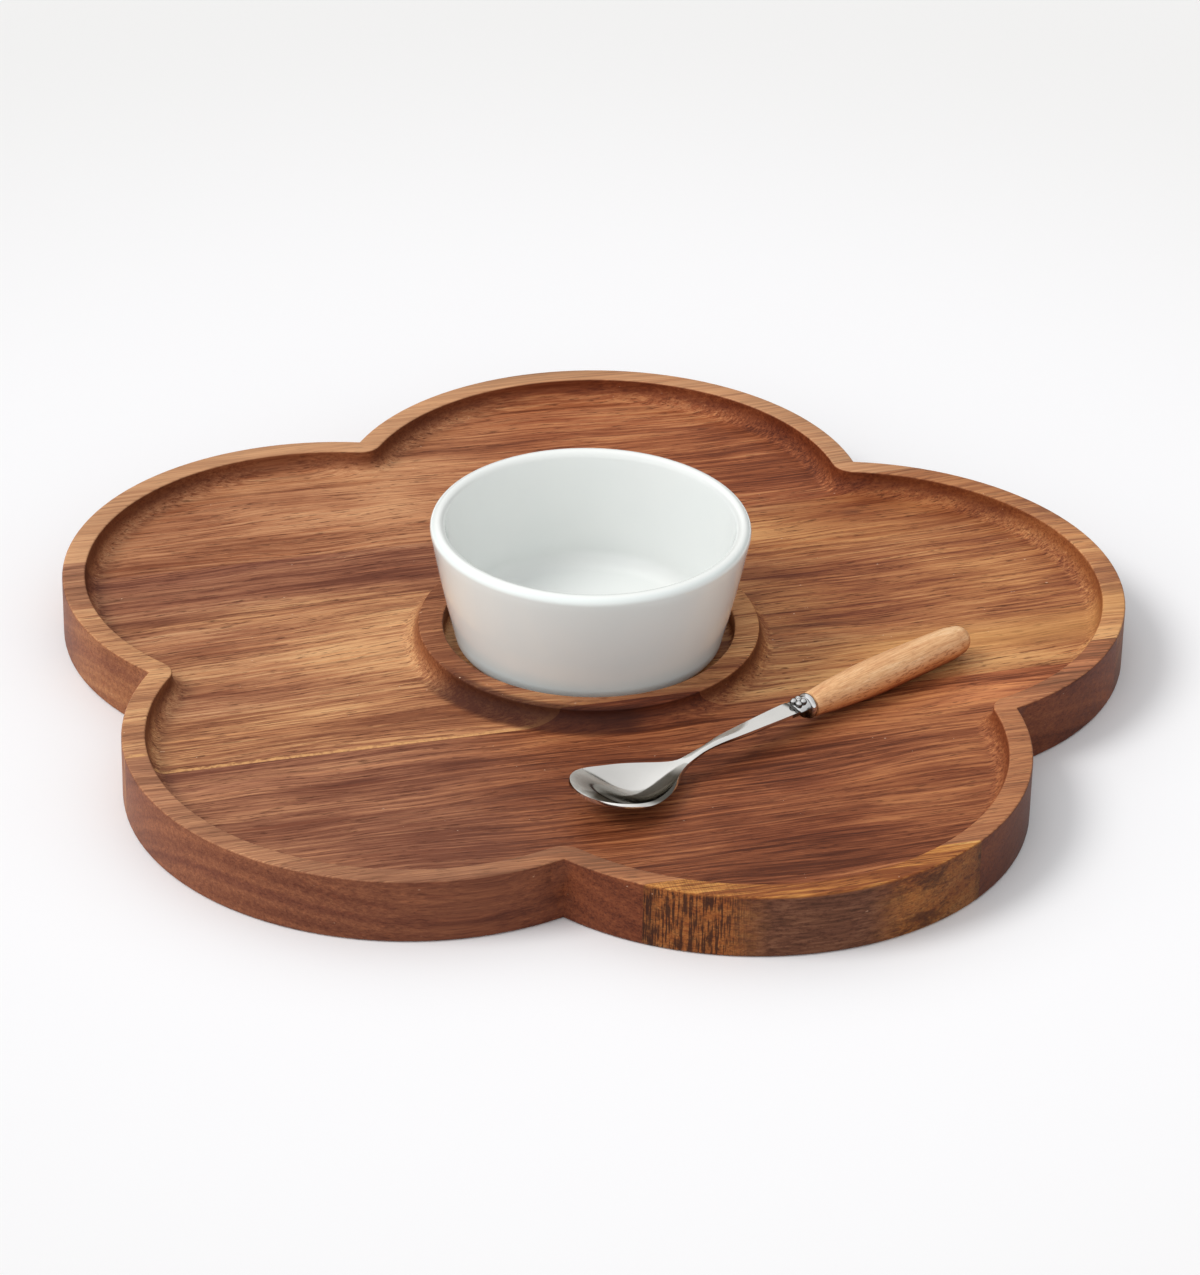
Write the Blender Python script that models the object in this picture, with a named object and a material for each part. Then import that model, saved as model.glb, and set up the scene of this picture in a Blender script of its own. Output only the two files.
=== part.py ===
"""Flower-shaped acacia chip and dip server: an edge-glued tray, a stoneware dip bowl and a beech-handled spoon.

X runs along the staves and through the middle of one petal, Y across them, Z up from the tray's underside.
"""

import math

import bmesh
import bpy
from mathutils import Vector

# Tray blank
PETALS = 5
PETAL_RADIUS = 0.0950
PETAL_OFFSET = 0.0950  # middle of the tray to the middle of a petal
TRAY_THICKNESS = 0.0228
TOP_EASE = 0.0006
BOTTOM_EASE = 0.0012

# Staves, as glued side by side
MIDDLE_STAVE_BACK = 0.0800  # middle of the tray to the back glue line
MIDDLE_STAVE_FRONT = 0.0535
EDGE_STRIP_WIDTH = 0.0186  # front of the tray to the strip's glue line
GLUE_LINE = 0.0003

# Chip recess, routed round the collar that holds the bowl
RIM_WIDTH = 0.0080
RECESS_DEPTH = 0.0078
COVE_RADIUS = 0.0065
COLLAR_WIDTH = 0.0086
COLLAR_DROP = 0.0010  # collar's top below the rim's
POCKET_DEPTH = 0.0068
POCKET_CORNER = 0.0020

# Dip bowl
BOWL_RADIUS = 0.0557  # outermost, just under the lip
BOWL_HEIGHT = 0.0464
BOWL_TAPER = 0.0101  # how much narrower the wall is where it meets the base
BOWL_WALL = 0.0052
BOWL_FLOOR = 0.0060
BOWL_BULGE = 0.0006
BOWL_CORNER = 0.0045
BOWL_INSIDE_COVE = 0.0100
FOOT_RING_WIDTH = 0.0050
FOOT_RING_DEPTH = 0.0010
BOWL_CLEARANCE = 0.0030  # bowl to pocket wall, at the collar's top

# Spoon, measured from the tip of its bowl
SPOON_TIP = (-0.0336, -0.1144)
SPOON_ANGLE = math.radians(25.6)
SCOOP_LENGTH = 0.0480
SCOOP_HALF_WIDTH = 0.0143
SCOOP_DEPTH = 0.0052
NECK_HALF_WIDTH = 0.0014
SHANK_LENGTH = 0.0455
SHANK_HALF_WIDTH = 0.0037
SHANK_TOP = 0.0086  # above the recess floor
BLADE_THICKNESS = 0.0014
TANG_RADIUS = 0.0018
TANG_IN_HANDLE = 0.0240
FERRULE_LENGTH = 0.0080
FERRULE_RADIUS = 0.0039
FLANGE_RADIUS = 0.0045
HANDLE_LENGTH = 0.0725
HANDLE_END_RADIUS = 0.0045  # where it meets the ferrule
HANDLE_RADIUS = 0.0064
TANG_CLEARANCE = 0.0003

# Assembly
RESTING_GAP = 0.0003
BORE_BEYOND_TANG = 0.0010

# Smoothness of the faceted solids
PETAL_STEPS = 16
NOTCH_STEPS = 3
COVE_STEPS = 4
BOWL_STEPS = 48
SPOON_STEPS = 20

FLOOR_Z = TRAY_THICKNESS - RECESS_DEPTH
COLLAR_Z = TRAY_THICKNESS - COLLAR_DROP
POCKET_Z = COLLAR_Z - POCKET_DEPTH
BOWL_Z = POCKET_Z + RESTING_GAP


def bowl_radius(height):
    """Outer radius of the bowl's wall, a little barrelled, at a height above its foot."""
    share = height / BOWL_HEIGHT
    return BOWL_RADIUS - BOWL_TAPER * (1 - share) + 4 * BOWL_BULGE * share * (1 - share)


POCKET_RADIUS = bowl_radius(COLLAR_Z - BOWL_Z) + BOWL_CLEARANCE
COLLAR_RADIUS = POCKET_RADIUS + COLLAR_WIDTH


def clear_scene():
    for old in list(bpy.data.objects):
        bpy.data.objects.remove(old, do_unlink=True)


def make_material(name, colour, roughness, metallic=0.0):
    material = bpy.data.materials.new(name)
    material.use_nodes = True
    shader = material.node_tree.nodes["Principled BSDF"]
    shader.inputs["Base Color"].default_value = (*colour, 1.0)
    shader.inputs["Roughness"].default_value = roughness
    shader.inputs["Metallic"].default_value = metallic
    return material


def add_object(name, bm, material, parent=None):
    """Turns a bmesh into a named, smoothly shaded object."""
    bmesh.ops.recalc_face_normals(bm, faces=bm.faces)
    mesh = bpy.data.meshes.new(name)
    bm.to_mesh(mesh)
    bm.free()
    mesh.materials.append(material)
    mesh.shade_smooth()
    mesh.set_sharp_from_angle(angle=math.radians(40))
    obj = bpy.data.objects.new(name, mesh)
    obj.parent = parent
    bpy.context.scene.collection.objects.link(obj)
    return obj


def add_empty(name, location, angle=0.0):
    empty = bpy.data.objects.new(name, None)
    empty.location = location
    empty.rotation_euler.z = angle
    bpy.context.scene.collection.objects.link(empty)
    return empty


def skin_rings(rings):
    """A closed solid through rings of points, all with the same count, capped at both ends."""
    bm = bmesh.new()
    rows = [[bm.verts.new(point) for point in ring] for ring in rings]
    count = len(rows[0])
    for near, far in zip(rows, rows[1:]):
        for i in range(count):
            j = (i + 1) % count
            bm.faces.new((near[i], near[j], far[j], far[i]))
    bm.faces.new(rows[0])
    bm.faces.new(rows[-1])
    bmesh.ops.remove_doubles(bm, verts=bm.verts, dist=1e-7)
    return bm


def quarter_round(centre, radius, start, steps):
    """Points (across, up) along a quarter circle that turns anticlockwise from the angle `start`."""
    turns = [start + math.pi / 2 * i / steps for i in range(steps + 1)]
    return [(centre[0] + radius * math.cos(t), centre[1] + radius * math.sin(t)) for t in turns]


# Tray --------------------------------------------------------------------------------------------------------


def flower_outline(inset):
    """The five-petal outline moved inwards: petal arcs joined by arcs about the notches between them."""
    half = math.pi / PETALS
    notch = PETAL_OFFSET * math.cos(half) + math.sqrt(PETAL_RADIUS**2 - (PETAL_OFFSET * math.sin(half)) ** 2)
    sweep = math.atan2(notch * math.sin(half), notch * math.cos(half) - PETAL_OFFSET)
    outline = []
    for petal in range(PETALS):
        middle = petal * 2 * half
        for i in range(PETAL_STEPS + 1):
            turn = middle + sweep * (2 * i / PETAL_STEPS - 1)
            outline.append(polar(PETAL_OFFSET, middle) + polar(PETAL_RADIUS - inset, turn))
        for i in range(1, NOTCH_STEPS):
            turn = middle + math.pi + sweep - 2 * (sweep - half) * i / NOTCH_STEPS
            outline.append(polar(notch, middle + half) + polar(inset, turn))
    return outline


def polar(radius, angle):
    return Vector((radius * math.cos(angle), radius * math.sin(angle)))


def tray_blank():
    """The whole routed tray as one solid, skinned from the underside round to the middle of the pocket."""
    flower = [
        (BOTTOM_EASE, 0),
        (0, BOTTOM_EASE),
        (0, TRAY_THICKNESS - TOP_EASE),
        (TOP_EASE, TRAY_THICKNESS),
        (RIM_WIDTH - TOP_EASE, TRAY_THICKNESS),
        (RIM_WIDTH, TRAY_THICKNESS - TOP_EASE),
    ]
    cove = min(COVE_RADIUS, RECESS_DEPTH - TOP_EASE, COLLAR_Z - FLOOR_Z - TOP_EASE)
    flower += quarter_round((RIM_WIDTH + cove, FLOOR_Z + cove), cove, math.pi, COVE_STEPS)
    collar = quarter_round((COLLAR_RADIUS + cove, FLOOR_Z + cove), cove, math.pi, COVE_STEPS)[::-1]
    corner = min(POCKET_CORNER, POCKET_DEPTH - TOP_EASE)
    collar += [
        (COLLAR_RADIUS, COLLAR_Z - TOP_EASE),
        (COLLAR_RADIUS - TOP_EASE, COLLAR_Z),
        (POCKET_RADIUS + TOP_EASE, COLLAR_Z),
        (POCKET_RADIUS, COLLAR_Z - TOP_EASE),
    ]
    collar += quarter_round((POCKET_RADIUS - corner, POCKET_Z + corner), corner, -math.pi / 2, 2)[::-1]
    directions = [point.normalized() for point in flower_outline(RIM_WIDTH + cove)]
    rings = [[(*point, z) for point in flower_outline(inset)] for inset, z in flower]
    rings += [[(*(radius * way), z) for way in directions] for radius, z in collar]
    return skin_rings(rings)


def cut_stave(blank, front, back):
    """The part of the blank between two planes across Y. None leaves that side as the blank's own edge."""
    bm = blank.copy()
    for y, outwards in ((front, -1), (back, 1)):
        if y is None:
            continue
        everything = bm.verts[:] + bm.edges[:] + bm.faces[:]
        bmesh.ops.bisect_plane(
            bm, geom=everything, dist=1e-7, plane_co=(0, y, 0), plane_no=(0, outwards, 0), clear_outer=True
        )
        bmesh.ops.holes_fill(bm, edges=[edge for edge in bm.edges if edge.is_boundary], sides=0)
    return bm


def make_tray(material):
    reach = max(-point.y for point in flower_outline(0))
    strip_joint = EDGE_STRIP_WIDTH - reach
    joints = [None, strip_joint, -MIDDLE_STAVE_FRONT, MIDDLE_STAVE_BACK, None]
    names = ["front_edge_strip", "front_stave", "middle_stave", "back_stave"]
    blank = tray_blank()
    for name, front, back in zip(names, joints, joints[1:]):
        low = None if front is None else front + GLUE_LINE / 2
        high = None if back is None else back - GLUE_LINE / 2
        add_object(name, cut_stave(blank, low, high), material)
    blank.free()


# Bowl --------------------------------------------------------------------------------------------------------


def turn_profile(profile, steps, lengthwise=False):
    """A solid of revolution about Z, or about X when lengthwise. The profile starts and ends on the axis."""
    bm = bmesh.new()
    points = [(along, 0, radius) if lengthwise else (radius, 0, along) for radius, along in profile]
    verts = [bm.verts.new(point) for point in points]
    edges = [bm.edges.new(pair) for pair in zip(verts, verts[1:])]
    axis = (1, 0, 0) if lengthwise else (0, 0, 1)
    bmesh.ops.spin(bm, geom=verts + edges, axis=axis, cent=(0, 0, 0), angle=2 * math.pi, steps=steps)
    bmesh.ops.remove_doubles(bm, verts=bm.verts, dist=1e-7)
    return bm


def bowl_profile():
    """From the middle of the base out, up the wall, over the lip and down to the middle of the inside."""
    foot = bowl_radius(BOWL_CORNER) - BOWL_CORNER
    lip = BOWL_WALL / 2
    profile = [(0, FOOT_RING_DEPTH), (foot - FOOT_RING_WIDTH - FOOT_RING_DEPTH, FOOT_RING_DEPTH)]
    profile.append((foot - FOOT_RING_WIDTH, 0))
    profile += quarter_round((foot, BOWL_CORNER), BOWL_CORNER, -math.pi / 2, 4)
    heights = [BOWL_CORNER + (BOWL_HEIGHT - lip - BOWL_CORNER) * i / 5 for i in range(1, 6)]
    profile += [(bowl_radius(z), z) for z in heights]
    crest = (bowl_radius(BOWL_HEIGHT - lip) - lip, BOWL_HEIGHT - lip)
    profile += quarter_round(crest, lip, 0, 3)[1:]
    profile += quarter_round(crest, lip, math.pi / 2, 3)[1:]
    cove = min(BOWL_INSIDE_COVE, BOWL_HEIGHT - BOWL_FLOOR - lip)
    top_of_cove = BOWL_FLOOR + cove
    inside = bowl_radius(top_of_cove) - BOWL_WALL
    profile.append((bowl_radius((BOWL_HEIGHT + top_of_cove) / 2) - BOWL_WALL, (BOWL_HEIGHT + top_of_cove) / 2))
    profile += quarter_round((inside - cove, top_of_cove), cove, -math.pi / 2, 5)[::-1]
    profile.append((0, BOWL_FLOOR))
    return profile


def make_bowl(material):
    seat = add_empty("bowl_seat", (0, 0, BOWL_Z))
    add_object("dip_bowl", turn_profile(bowl_profile(), BOWL_STEPS), material, seat)


# Spoon -------------------------------------------------------------------------------------------------------

FERRULE_START = SCOOP_LENGTH + SHANK_LENGTH
HANDLE_START = FERRULE_START + FERRULE_LENGTH
HANDLE_AXIS = HANDLE_RADIUS + RESTING_GAP


def smooth_curve(stops):
    """A function that eases from one (place, value) stop to the next, flat at both ends."""
    slopes = [0.0]
    for (x0, y0), (x1, y1), (x2, y2) in zip(stops, stops[1:], stops[2:]):
        before, after = (y1 - y0) / (x1 - x0), (y2 - y1) / (x2 - x1)
        slopes.append(0.0 if before * after <= 0 else 2 * before * after / (before + after))
    slopes.append(0.0)

    def value(x):
        for (x0, y0), (x1, y1), s0, s1 in zip(stops, stops[1:], slopes, slopes[1:]):
            if x <= x1:
                break
        width = x1 - x0
        t = min(max((x - x0) / width, 0.0), 1.0)
        rise = y0 * (1 + 2 * t) * (1 - t) ** 2 + y1 * t * t * (3 - 2 * t)
        return rise + width * (s0 * t * (1 - t) ** 2 + s1 * t * t * (t - 1))

    return value


def scoop_width(x):
    """Half the width of the spoon's bowl, an egg with its broad end at the tip, running out into the neck."""
    share = min(x / SCOOP_LENGTH, 1.0)
    egg = math.sqrt(max(share * (1 - share), 0.0)) * (1.5 - share)
    return SCOOP_HALF_WIDTH * egg / 0.55 * max(1 - 1.2 * share**6, 0.0)


BLADE_REST = SCOOP_DEPTH + BLADE_THICKNESS + RESTING_GAP

rim_height = smooth_curve(
    [
        (0, BLADE_REST + 0.0042),
        (SCOOP_LENGTH * 0.48, BLADE_REST),
        (SCOOP_LENGTH * 0.86, BLADE_REST - 0.0012),
        (SCOOP_LENGTH * 1.08, SHANK_TOP - 0.0012),
        (SCOOP_LENGTH * 1.30, SHANK_TOP - 0.0001),
        (FERRULE_START, SHANK_TOP),
    ]
)
neck_width = smooth_curve(
    [
        (SCOOP_LENGTH * 0.62, 0),
        (SCOOP_LENGTH * 0.92, NECK_HALF_WIDTH * 1.3),
        (SCOOP_LENGTH * 1.10, NECK_HALF_WIDTH),
        (SCOOP_LENGTH * 1.30, NECK_HALF_WIDTH * 0.65 + SHANK_HALF_WIDTH * 0.35),
        (SCOOP_LENGTH + SHANK_LENGTH * 0.6, NECK_HALF_WIDTH * 0.30 + SHANK_HALF_WIDTH * 0.70),
        (FERRULE_START, SHANK_HALF_WIDTH),
    ]
)
hollow = smooth_curve(
    [
        (0, 0),
        (SCOOP_LENGTH * 0.48, SCOOP_DEPTH),
        (SCOOP_LENGTH * 0.92, 0),
    ]
)


def blade_section(x, steps=8):
    """The blade's outline across the spoon at x: a shallow dish between two parallel faces."""
    half = math.hypot(scoop_width(x), neck_width(x))
    across = [math.sin(math.pi / 2 * (2 * i / steps - 1)) for i in range(steps + 1)]
    top = [(x, half * v, rim_height(x) - hollow(x) * (1 - v * v)) for v in across]
    return top + [(x, y, z - BLADE_THICKNESS) for x, y, z in reversed(top)]


def tang_section(x, steps=8):
    """A ring round the tang with the same count of points as a blade section, in the same order."""
    turns = [math.pi * (1 - i / steps) for i in range(steps + 1)]
    half_ring = [(TANG_RADIUS * math.cos(turn), TANG_RADIUS * math.sin(turn)) for turn in turns]
    lift = BLADE_THICKNESS / 4
    upper = [(x, y, HANDLE_AXIS + max(z, lift)) for y, z in half_ring]
    lower = [(x, y, HANDLE_AXIS - max(z, lift)) for y, z in reversed(half_ring)]
    return upper + lower


def make_blade(material, parent):
    tip_end = SCOOP_LENGTH * 0.012
    shares = [tip_end / SCOOP_LENGTH] + [0.5 - 0.5 * math.cos(math.pi * i / 16) for i in range(2, 17)]
    stations = [share * SCOOP_LENGTH for share in shares]
    stations += [SCOOP_LENGTH + SHANK_LENGTH * i / 6 for i in range(1, 6)] + [FERRULE_START - RESTING_GAP]
    rings = [blade_section(x) for x in stations]
    shoulder = FERRULE_START - RESTING_GAP
    rings += [tang_section(x) for x in (shoulder, HANDLE_START + TANG_IN_HANDLE)]
    add_object("spoon_blade", skin_rings(rings), material, parent)


def make_ferrule(material, parent):
    """A cast collar between shank and handle, with the tang's hole through it."""
    hole = TANG_RADIUS + TANG_CLEARANCE
    end = FERRULE_LENGTH - RESTING_GAP
    flange = end - 0.0016
    outside = [
        (FERRULE_RADIUS * 0.80, 0),
        (FERRULE_RADIUS, 0.0010),
        (FERRULE_RADIUS * 1.04, flange * 0.5),
        (FERRULE_RADIUS * 0.92, flange - 0.0004),
        (FLANGE_RADIUS, flange),
        (FLANGE_RADIUS, end),
    ]
    profile = [(hole, 0)] + outside + [(hole, end), (hole, 0)]
    ferrule = add_object("spoon_ferrule", turn_profile(profile, SPOON_STEPS, True), material, parent)
    ferrule.location = (FERRULE_START, 0, HANDLE_AXIS)


def make_handle(material, parent):
    """A turned, slightly barrelled grip, drilled for the tang."""
    shape = smooth_curve(
        [
            (0, HANDLE_END_RADIUS),
            (HANDLE_LENGTH * 0.14, (HANDLE_END_RADIUS + HANDLE_RADIUS) / 2),
            (HANDLE_LENGTH * 0.42, HANDLE_RADIUS),
            (HANDLE_LENGTH * 0.88, HANDLE_RADIUS * 0.90),
            (HANDLE_LENGTH, HANDLE_RADIUS * 0.60),
        ]
    )
    rounding = HANDLE_RADIUS * 0.62
    hole = TANG_RADIUS + TANG_CLEARANCE
    bottom = TANG_IN_HANDLE + BORE_BEYOND_TANG
    barrel = HANDLE_LENGTH - rounding
    profile = [(0, bottom), (hole, bottom), (hole, 0)]
    profile += [(shape(barrel * i / 12), barrel * i / 12) for i in range(13)]
    for turn in (0.25, 0.5, 0.75):
        along = barrel + rounding * math.sin(turn * math.pi / 2)
        profile.append((shape(barrel) * math.cos(turn * math.pi / 2) ** 0.8, along))
    profile.append((0, HANDLE_LENGTH))
    handle = add_object("spoon_handle", turn_profile(profile, SPOON_STEPS, True), material, parent)
    handle.location = (HANDLE_START, 0, HANDLE_AXIS)


def make_spoon(steel, chrome, beech):
    rest = add_empty("spoon_rest", (*SPOON_TIP, FLOOR_Z), SPOON_ANGLE)
    make_blade(steel, rest)
    make_ferrule(chrome, rest)
    make_handle(beech, rest)


clear_scene()
make_tray(make_material("oiled acacia", (0.26, 0.10, 0.04), 0.50))
make_bowl(make_material("white glaze", (0.80, 0.82, 0.80), 0.15))
make_spoon(
    make_material("stainless steel", (0.62, 0.61, 0.59), 0.22, 1.0),
    make_material("chrome", (0.70, 0.70, 0.70), 0.12, 1.0),
    make_material("beech", (0.60, 0.34, 0.18), 0.50),
)
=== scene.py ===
import math

import bmesh
import bpy
from mathutils import Matrix, Vector


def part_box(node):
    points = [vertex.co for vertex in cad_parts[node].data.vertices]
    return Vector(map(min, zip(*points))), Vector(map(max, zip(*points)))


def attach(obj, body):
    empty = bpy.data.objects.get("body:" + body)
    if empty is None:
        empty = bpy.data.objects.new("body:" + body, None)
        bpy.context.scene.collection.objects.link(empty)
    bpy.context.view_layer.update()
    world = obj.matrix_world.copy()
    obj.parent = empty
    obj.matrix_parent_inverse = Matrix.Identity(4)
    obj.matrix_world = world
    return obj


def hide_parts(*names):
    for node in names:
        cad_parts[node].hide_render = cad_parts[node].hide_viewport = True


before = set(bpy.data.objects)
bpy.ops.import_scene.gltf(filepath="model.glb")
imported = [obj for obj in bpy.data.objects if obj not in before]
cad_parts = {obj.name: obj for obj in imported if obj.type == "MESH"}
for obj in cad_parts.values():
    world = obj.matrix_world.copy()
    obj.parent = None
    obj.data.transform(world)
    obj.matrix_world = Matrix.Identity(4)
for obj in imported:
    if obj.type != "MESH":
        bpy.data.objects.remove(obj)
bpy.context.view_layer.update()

MM = 0.001

# ------------------------------------------------------------------------------------------------------------
# Sizes, in metres. The tray's outline and glue lines come from the frame.
# ------------------------------------------------------------------------------------------------------------

BACK_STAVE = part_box("back_stave")
MIDDLE_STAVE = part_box("middle_stave")
FRONT_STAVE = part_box("front_stave")
EDGE_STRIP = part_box("front_edge_strip")
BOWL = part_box("dip_bowl")

PETALS = 5
HALF_PETAL = math.pi / PETALS
TRAY_TOP = MIDDLE_STAVE[1].z
PETAL_OFFSET = (MIDDLE_STAVE[1].x - BACK_STAVE[1].y) / (1 - math.sin(2 * math.pi / PETALS))
PETAL_RADIUS = MIDDLE_STAVE[1].x - PETAL_OFFSET
NOTCH_OFFSET = PETAL_OFFSET * math.cos(HALF_PETAL) + math.sqrt(
    PETAL_RADIUS**2 - (PETAL_OFFSET * math.sin(HALF_PETAL)) ** 2
)
PETAL_SWEEP = math.atan2(
    NOTCH_OFFSET * math.sin(HALF_PETAL), NOTCH_OFFSET * math.cos(HALF_PETAL) - PETAL_OFFSET
)
BACK_JOINT = (BACK_STAVE[0].y + MIDDLE_STAVE[1].y) / 2
MIDDLE_JOINT = (MIDDLE_STAVE[0].y + FRONT_STAVE[1].y) / 2
FRONT_JOINT = (FRONT_STAVE[0].y + EDGE_STRIP[1].y) / 2
GLUE_FILM = 0.03 * MM

RIM_WIDTH = 8 * MM
RECESS_FLOOR = TRAY_TOP - 7.8 * MM
COVE = 6.2 * MM
TOP_EASE = 0.7 * MM
FOOT_EASE = 1.2 * MM
COLLAR_TOP = TRAY_TOP - 1 * MM
COLLAR_RADIUS = 58.8 * MM
POCKET_RADIUS = 50.2 * MM
POCKET_FLOOR = COLLAR_TOP - 6.8 * MM

BOWL_FOOT = BOWL[0].z
BOWL_HEIGHT = BOWL[1].z - BOWL_FOOT
BOWL_RADIUS = BOWL[1].x
BOWL_TAPER = 10.1 * MM
BOWL_WALL = 5.2 * MM

SPOON_TIP = Vector((-33.6 * MM, -114.4 * MM, RECESS_FLOOR))
SPOON_TURN = math.radians(25.6)
SCOOP_LENGTH = 48 * MM
SCOOP_HALF_WIDTH = 14.3 * MM
STEEL_THICKNESS = 1.4 * MM
STEEL_EASE = 0.45 * MM
SHANK_END = 93.5 * MM
FERRULE_LENGTH = 8 * MM
SLEEVE_LENGTH = 3.9 * MM  # the ferrule's flat end, over the shank
SLEEVE_FLATTENING = 0.40
LOBE_RADIUS = 1.45 * MM
BUTTON_RADIUS = 0.85 * MM
HANDLE_START = SHANK_END + FERRULE_LENGTH
HANDLE_LENGTH = 72.5 * MM
HANDLE_END_ROUNDING = 5 * MM
SPOON_AXIS = 6.7 * MM  # height of the handle's middle above the recess floor


# ------------------------------------------------------------------------------------------------------------
# Modelling helpers
# ------------------------------------------------------------------------------------------------------------


def polar(radius, angle, height=0.0):
    return Vector((radius * math.cos(angle), radius * math.sin(angle), height))


def arc(centre, radius, start, end, steps):
    """Points (across, up) along an arc, angles in degrees, anticlockwise from the across direction."""
    turns = [math.radians(start + (end - start) * i / steps) for i in range(steps + 1)]
    return [(centre[0] + radius * math.cos(t), centre[1] + radius * math.sin(t)) for t in turns]


def draw_line(name, points):
    """Draws one vertex out through the points and leaves the piece in edit mode, all selected."""
    bpy.ops.object.select_all(action="DESELECT")
    bpy.ops.mesh.primitive_plane_add(size=0.01)
    piece = bpy.context.object
    piece.name = piece.data.name = name
    bpy.ops.object.mode_set(mode="EDIT")
    bpy.context.tool_settings.mesh_select_mode = (True, False, False)
    bpy.ops.mesh.select_all(action="SELECT")
    bpy.ops.mesh.merge(type="CENTER")
    bpy.ops.transform.translate(value=points[0])
    for here, there in zip(points, points[1:]):
        step = Vector(there) - Vector(here)
        bpy.ops.mesh.extrude_vertices_move(TRANSFORM_OT_translate={"value": step})
    bpy.ops.mesh.select_all(action="SELECT")
    return piece


def sweep(angle, centre, steps, axis=(0, 0, 1)):
    """Spins the selection anticlockwise about the axis. The operator itself counts clockwise."""
    bpy.ops.mesh.spin(steps=steps, angle=-angle, center=centre, axis=axis)


def weld(gap=2e-6):
    bpy.ops.mesh.select_all(action="SELECT")
    bpy.ops.mesh.remove_doubles(threshold=gap)


def pick(piece, kind, test):
    """In edit mode, selects only the edges or only the verts that pass the test."""
    bpy.context.tool_settings.mesh_select_mode = (kind == "verts", kind == "edges", False)
    bpy.ops.mesh.select_all(action="DESELECT")
    shape = bmesh.from_edit_mesh(piece.data)
    for part in shape.verts if kind == "verts" else shape.edges:
        part.select_set(test(part))
    bmesh.update_edit_mesh(piece.data)


def open_edges_at(height):
    """A test for the edges round an open hole at one height."""
    return lambda edge: edge.is_boundary and all(abs(v.co.z - height) < 1e-5 for v in edge.verts)


def face_outwards():
    bpy.ops.mesh.select_all(action="SELECT")
    bpy.ops.mesh.normals_make_consistent(inside=False)


def leave_edit(angle=35):
    bpy.ops.object.mode_set(mode="OBJECT")
    bpy.ops.object.shade_smooth_by_angle(angle=math.radians(angle))


def only(piece):
    """Makes one object the selected and active one."""
    bpy.ops.object.select_all(action="DESELECT")
    piece.select_set(True)
    bpy.context.view_layer.objects.active = piece


def apply_modifier(piece, kind, **settings):
    only(piece)
    modifier = piece.modifiers.new(kind.title(), kind)
    for name, value in settings.items():
        setattr(modifier, name, value)
    bpy.ops.object.modifier_apply(modifier=modifier.name)


def turn_piece(name, profile, steps=128):
    """A turned piece about Z from (radius, height) points that start and end on the axis."""
    piece = draw_line(name, [(radius, 0, height) for radius, height in profile])
    sweep(2 * math.pi, (0, 0, 0), steps)
    weld()
    face_outwards()
    return piece


def lay_along_spoon(piece):
    """Moves a piece from the spoon's own frame, tip at the origin and X towards the handle, onto the tray."""
    only(piece)
    place = Matrix.Translation(SPOON_TIP) @ Matrix.Rotation(SPOON_TURN, 4, "Z")
    piece.matrix_world = place @ piece.matrix_world
    bpy.ops.object.transform_apply(location=True, rotation=True, scale=True)


# ------------------------------------------------------------------------------------------------------------
# Materials
# ------------------------------------------------------------------------------------------------------------


def srgb(red, green, blue):
    """A display colour, 0 to 255, as the linear colour that a node takes."""
    parts = [part / 255 for part in (red, green, blue)]
    return tuple(p / 12.92 if p <= 0.04045 else ((p + 0.055) / 1.055) ** 2.4 for p in parts) + (1.0,)


class Wire:
    """A socket in a node tree. Arithmetic on it adds Math nodes."""

    def __init__(self, nodes, socket):
        self.nodes = nodes
        self.socket = socket

    def math(self, operation, first, second=0.0):
        return self.nodes.node("ShaderNodeMath", {"operation": operation}, {0: first, 1: second})

    def __add__(self, other):
        return self.math("ADD", self, other)

    __radd__ = __add__

    def __mul__(self, other):
        return self.math("MULTIPLY", self, other)

    __rmul__ = __mul__

    def __sub__(self, other):
        return self.math("SUBTRACT", self, other)

    def __rsub__(self, other):
        return self.math("SUBTRACT", other, self)

    def __truediv__(self, other):
        return self.math("DIVIDE", self, other)

    def __neg__(self):
        return self.math("MULTIPLY", self, -1.0)

    def __pow__(self, other):
        return self.math("POWER", self, other)

    def __abs__(self):
        return self.math("ABSOLUTE", self)


def distance(x, y):
    """How far the point (x, y) is from the origin."""
    return (x * x + y * y) ** 0.5


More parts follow.
